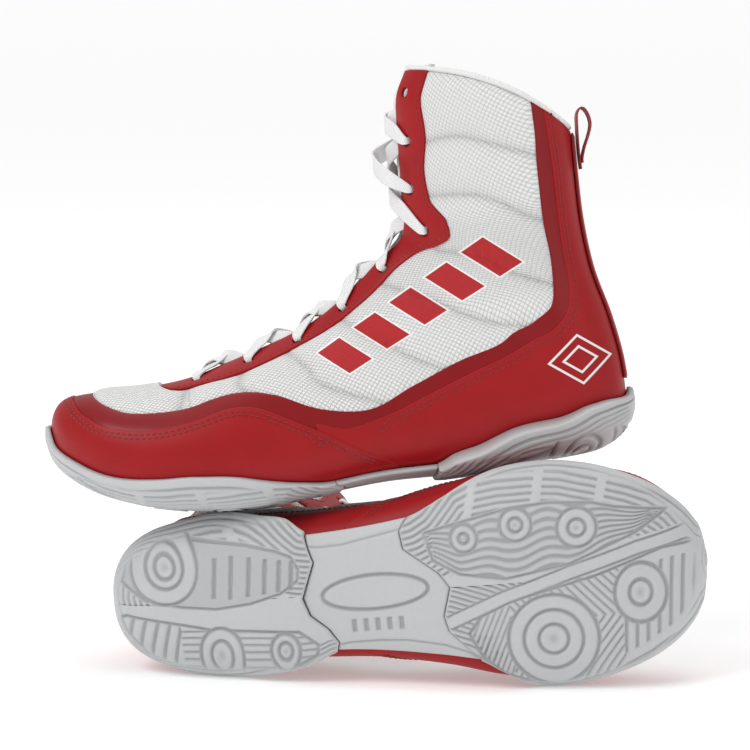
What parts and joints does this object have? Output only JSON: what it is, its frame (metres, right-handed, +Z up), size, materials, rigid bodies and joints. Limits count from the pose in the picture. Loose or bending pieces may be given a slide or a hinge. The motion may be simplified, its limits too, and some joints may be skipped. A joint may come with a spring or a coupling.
{
  "type": "pair of boxing boots",
  "caption": "Pair of high-top lace-up boxing boots with quilted mesh quarters, smooth red overlays and cupped rubber soles, one standing across the other.",
  "frame": {"origin": "on the floor, under the middle of the pair's bounding box", "axes": "+X towards the toe of the lying boot, +Z up, -Y the side its sole faces"},
  "size_m": [0.3339, 0.225, 0.3062],
  "materials": {
    "sole_rubber": "satin moulded rubber",
    "red_leather": "smooth coated synthetic leather",
    "red_film": "glossy welded film",
    "white_mesh": "quilted coarse woven mesh",
    "white_cloth": "soft knitted cloth",
    "lace_cloth": "flat woven lace",
    "red_webbing": "ribbed woven tape",
    "lining_cloth": "brushed lining",
    "foam": "open-cell foam",
    "board": "fibre board",
    "footbed_cloth": "cloth-topped foam",
    "stiffener": "matt thermoplastic sheet"
  },
  "bodies": {
    "left_boot": {"left_outsole_forefoot": "sole_rubber", "left_outsole_shank": "sole_rubber", "left_outsole_heel": "sole_rubber", "left_midsole": "foam", "left_insole_board": "board", "left_toe_guard": "red_leather", "left_heel_foxing_outer": "red_leather", "left_heel_foxing_inner": "red_leather", "left_film_band": "red_film", "left_vamp_mesh": "white_mesh", "left_quarter_mesh_outer": "white_mesh", "left_quarter_mesh_inner": "white_mesh", "left_eyestay_outer": "red_leather", "left_eyestay_inner": "red_leather", "left_lace": "lace_cloth", "left_backstay": "red_webbing", "left_collar_binding": "white_cloth", "left_vamp_lining": "lining_cloth", "left_quarter_lining_outer": "lining_cloth", "left_quarter_lining_inner": "lining_cloth", "left_collar_foam": "foam", "left_ankle_foam_outer": "foam", "left_ankle_foam_inner": "foam", "left_heel_counter": "stiffener", "left_toe_puff": "stiffener"},
    "left_tongue": {"left_tongue": "white_cloth"},
    "left_pull_loop": {"left_pull_loop": "red_webbing"},
    "left_footbed": {"left_footbed": "footbed_cloth"},
    "right_boot": {"right_outsole_forefoot": "sole_rubber", "right_outsole_shank": "sole_rubber", "right_outsole_heel": "sole_rubber", "right_midsole": "foam", "right_insole_board": "board", "right_toe_guard": "red_leather", "right_heel_foxing_outer": "red_leather", "right_heel_foxing_inner": "red_leather", "right_film_band": "red_film", "right_vamp_mesh": "white_mesh", "right_quarter_mesh_outer": "white_mesh", "right_quarter_mesh_inner": "white_mesh", "right_eyestay_outer": "red_leather", "right_eyestay_inner": "red_leather", "right_lace": "lace_cloth", "right_backstay": "red_webbing", "right_collar_binding": "white_cloth", "right_vamp_lining": "lining_cloth", "right_quarter_lining_outer": "lining_cloth", "right_quarter_lining_inner": "lining_cloth", "right_collar_foam": "foam", "right_ankle_foam_outer": "foam", "right_ankle_foam_inner": "foam", "right_heel_counter": "stiffener", "right_toe_puff": "stiffener"},
    "right_tongue": {"right_tongue": "white_cloth"},
    "right_pull_loop": {"right_pull_loop": "red_webbing"},
    "right_footbed": {"right_footbed": "footbed_cloth"}
  },
  "joints": [
    {"name": "boots_lift", "type": "slide", "parent": "right_boot", "child": "left_boot", "axis": [0, 0, 1], "range_m": [0, 0.12]},
    {"name": "left_tongue_hinge", "type": "hinge", "parent": "left_boot", "child": "left_tongue", "pos_m": [-0.09619, -0.0397, 0.1364], "axis": [0, -0.9945, 0.1045], "range_deg": [-5, 0], "stiffness_Nm_per_rad": 0.6},
    {"name": "left_pull_loop_hinge", "type": "hinge", "parent": "left_boot", "child": "left_pull_loop", "pos_m": [0.10434, -0.02756, 0.25193], "axis": [0, -0.9945, 0.1045], "range_deg": [-35, 0], "stiffness_Nm_per_rad": 0.02},
    {"name": "left_footbed_hinge", "type": "hinge", "parent": "left_boot", "child": "left_footbed", "pos_m": [-0.1507, -0.04265, 0.10839], "axis": [0, -0.9945, 0.1045], "range_deg": [0, 7], "stiffness_Nm_per_rad": 0.6},
    {"name": "right_tongue_hinge", "type": "hinge", "parent": "right_boot", "child": "right_tongue", "pos_m": [0.09612, -0.05611, 0.05684], "axis": [0.0917, -0.0235, -0.9955], "range_deg": [-5, 0], "stiffness_Nm_per_rad": 0.6},
    {"name": "right_pull_loop_hinge", "type": "hinge", "parent": "right_boot", "child": "right_pull_loop", "pos_m": [-0.10399, 0.05885, 0.03569], "axis": [0.0917, -0.0235, -0.9955], "range_deg": [-35, 0], "stiffness_Nm_per_rad": 0.02},
    {"name": "right_footbed_hinge", "type": "hinge", "parent": "right_boot", "child": "right_footbed", "pos_m": [0.15049, -0.08395, 0.06251], "axis": [0.0917, -0.0235, -0.9955], "range_deg": [0, 7], "stiffness_Nm_per_rad": 0.6}
  ]
}
